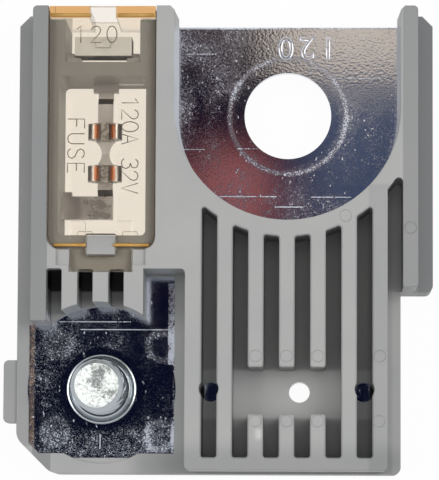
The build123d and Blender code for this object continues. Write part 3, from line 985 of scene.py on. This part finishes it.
def grown_mesh(tree, sizes, base=None):
    """The mesh that a node tree makes from these named sizes, with the modifier gone."""
    seed = bpy.data.objects.new(tree.name, base or bpy.data.meshes.new(tree.name))
    bpy.context.scene.collection.objects.link(seed)
    modifier = seed.modifiers.new("tree", "NODES")
    modifier.node_group = tree
    for item in tree.interface.items_tree:
        if item.item_type == "SOCKET" and item.in_out == "INPUT" and item.name in sizes:
            modifier[item.identifier] = sizes[item.name]
    depsgraph = bpy.context.evaluated_depsgraph_get()
    mesh = bpy.data.meshes.new_from_object(seed.evaluated_get(depsgraph))
    bpy.data.objects.remove(seed)
    return mesh


def curve_mesh(curve):
    """A curve or text as a clean closed mesh."""
    holder = bpy.data.objects.new(curve.name, curve)
    bpy.context.scene.collection.objects.link(holder)
    depsgraph = bpy.context.evaluated_depsgraph_get()
    mesh = bpy.data.meshes.new_from_object(holder.evaluated_get(depsgraph))
    bpy.data.objects.remove(holder)
    clean_mesh(mesh)
    return mesh


def clean_mesh(mesh):
    """Merges doubled points and turns the faces outwards."""
    shape = bmesh.new()
    shape.from_mesh(mesh)
    bmesh.ops.remove_doubles(shape, verts=shape.verts, dist=WELD)
    bmesh.ops.dissolve_degenerate(shape, edges=shape.edges, dist=WELD)
    bmesh.ops.recalc_face_normals(shape, faces=shape.faces)
    shape.to_mesh(mesh)
    shape.free()


def add_piece(name, mesh, material):
    """Puts a finished mesh in the scene as a piece of the fuse."""
    mesh.materials.clear()
    mesh.materials.append(material)
    piece = bpy.data.objects.new(name, mesh)
    bpy.context.scene.collection.objects.link(piece)
    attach(piece, "root")
    return piece


def turned(profile, columns):
    """A closed turned shape about the Z axis, from (radius, height) pairs that start and end at 0."""
    shape = bmesh.new()
    rings = []
    for radius, height in profile:
        count = columns if radius else 1
        ring = []
        for angle in [2 * math.pi * i / count for i in range(count)]:
            ring.append(shape.verts.new((radius * math.cos(angle), radius * math.sin(angle), height)))
        rings.append(ring)
    for low, high in zip(rings, rings[1:]):
        for i in range(columns):
            corners = [low[i % len(low)], low[(i + 1) % len(low)]]
            corners += [high[(i + 1) % len(high)], high[i % len(high)]]
            shape.faces.new(list(dict.fromkeys(corners)))
    bmesh.ops.recalc_face_normals(shape, faces=shape.faces)
    mesh = bpy.data.meshes.new("turned")
    shape.to_mesh(mesh)
    shape.free()
    return mesh


def threaded_stud(material):
    """The stud with a real thread: head from the plain stud, then a turned collar and the thread."""
    whole = bmesh.new()
    whole.from_mesh(nodes["terminal_stud"].data)
    bmesh.ops.remove_doubles(whole, verts=whole.verts, dist=4 * WELD)
    cut = bmesh.ops.bisect_plane(
        whole,
        geom=whole.verts[:] + whole.edges[:] + whole.faces[:],
        plane_co=(0, 0, PLATE_TOP / 2),
        plane_no=(0, 0, 1),
        clear_outer=True,
    )
    rim = [edge for edge in cut["geom_cut"] if isinstance(edge, bmesh.types.BMEdge)]
    bmesh.ops.contextual_create(whole, geom=rim)
    collar = turned([(r * MM, PLATE_TOP + z * MM) for r, z in COLLAR_PROFILE], THREAD_COLUMNS)
    sizes = {
        "Crest Radius": STUD_RADIUS,
        "Root Radius": STUD_RADIUS - THREAD_DEPTH,
        "Pitch": THREAD_PITCH,
        "Start": PLATE_TOP + COLLAR_HEIGHT / 2,
        "End": stud_top,
        "End Chamfer": STUD_CHAMFER,
        "Columns": THREAD_COLUMNS,
        "Rows": int((stud_top - PLATE_TOP) / THREAD_PITCH * ROWS_PER_TURN),
    }
    for mesh in (collar, grown_mesh(thread_tree(material), sizes)):
        mesh.transform(Matrix.Translation((stud_centre.x, stud_centre.y, 0)))
        whole.from_mesh(mesh)
    bmesh.ops.recalc_face_normals(whole, faces=whole.faces)
    stud_mesh = bpy.data.meshes.new("threaded_stud")
    whole.to_mesh(stud_mesh)
    whole.free()
    piece = add_piece("threaded_stud", stud_mesh, material)
    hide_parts("terminal_stud")


def ejector_marks(material):
    """Witness rings of the ejector pins, half sunk in the front face."""
    points = bpy.data.meshes.new("ejector_points")
    points.from_pydata([(x * MM, y * MM, front_z) for x, y in EJECTOR_MARKS], [], [])
    sizes = {"Mark Radius": EJECTOR_RADIUS * MM, "Line Radius": EJECTOR_LINE * MM}
    mesh = grown_mesh(ring_marks_tree(material), sizes, points)
    clean_mesh(mesh)
    add_piece("ejector_marks", mesh, material)


def stamped_rating(material):
    """The rating stamped in the pad, as rounded ridges."""
    text = bpy.data.curves.new("stamped_rating", "FONT")
    text.body = STAMP_TEXT
    text.align_x = "CENTER"
    text.align_y = "CENTER"
    text.size = STAMP_SIZE
    text.space_character = STAMP_SPACING
    text.extrude = STAMP_RELIEF / 4
    text.bevel_depth = STAMP_RELIEF
    text.bevel_resolution = 2
    text.offset = -STAMP_RELIEF / 2
    text.resolution_u = 6
    mesh = curve_mesh(text)
    place = Matrix.Translation(Vector((*STAMP_CENTRE, PLATE_TOP / MM)) * MM)
    mesh.transform(place @ Matrix.Rotation(math.pi, 4, "Z") @ Matrix.Scale(MM, 4))
    add_piece("stamped_rating", mesh, material)


def strokes_on_cover(name, strokes, radius, material):
    """Round strokes through points (x, y) in millimetres, half sunk in the front of the cover."""
    curve = bpy.data.curves.new(name, "CURVE")
    curve.dimensions = "3D"
    curve.bevel_depth = radius * MM
    curve.bevel_resolution = 1
    curve.use_fill_caps = True
    for stroke in strokes:
        spline = curve.splines.new("POLY")
        spline.points.add(len(stroke) - 1)
        for point, (x, y) in zip(spline.points, stroke):
            point.co = (x * MM, y * MM, COVER_FRONT, 1)
    add_piece(name, curve_mesh(curve), material)


def letter_strokes():
    """The strokes of all the lettering on the cover, in millimetres."""
    strokes = []
    for text, start, advance, degrees in LETTERING:
        turn = Matrix.Rotation(math.radians(degrees), 2)
        for place, letter in enumerate(text):
            foot = Vector((place * advance, 0))
            for stroke in GLYPHS[letter]:
                spots = [foot + Vector(point) * LETTER_HEIGHT for point in stroke]
                strokes.append([tuple(turn @ spot + Vector(start)) for spot in spots])
    return strokes


set_camera()
set_studio()
nylon = moulded_nylon()
paint("housing", nylon)
plate_tin = tin_plate()
paint("bus_plate", plate_tin)
pellet_tin = cast_tin()
for pellet in ("upper_tin_pellet", "lower_tin_pellet"):
    paint(pellet, pellet_tin)
threaded_stud(zinc_steel())
paint("window_cover", amber_clear())
ejector_marks(nylon)
stamped_rating(plate_tin)
brown = lettering_and_rim_shade()
strokes_on_cover("cover_lettering", letter_strokes(), LETTER_LINE, brown)
# Painted shade: thin brown lines along the cover's rims and round its catch
strokes_on_cover("cover_rim_shade_lines", RIM_SHADE_STROKES, RIM_SHADE_LINE, brown)
# Painted light: amber lines along the cover's foot and top edge
strokes_on_cover("cover_painted_edge_light", EDGE_LIGHT_STROKES, EDGE_LIGHT_LINE, painted_edge_light())
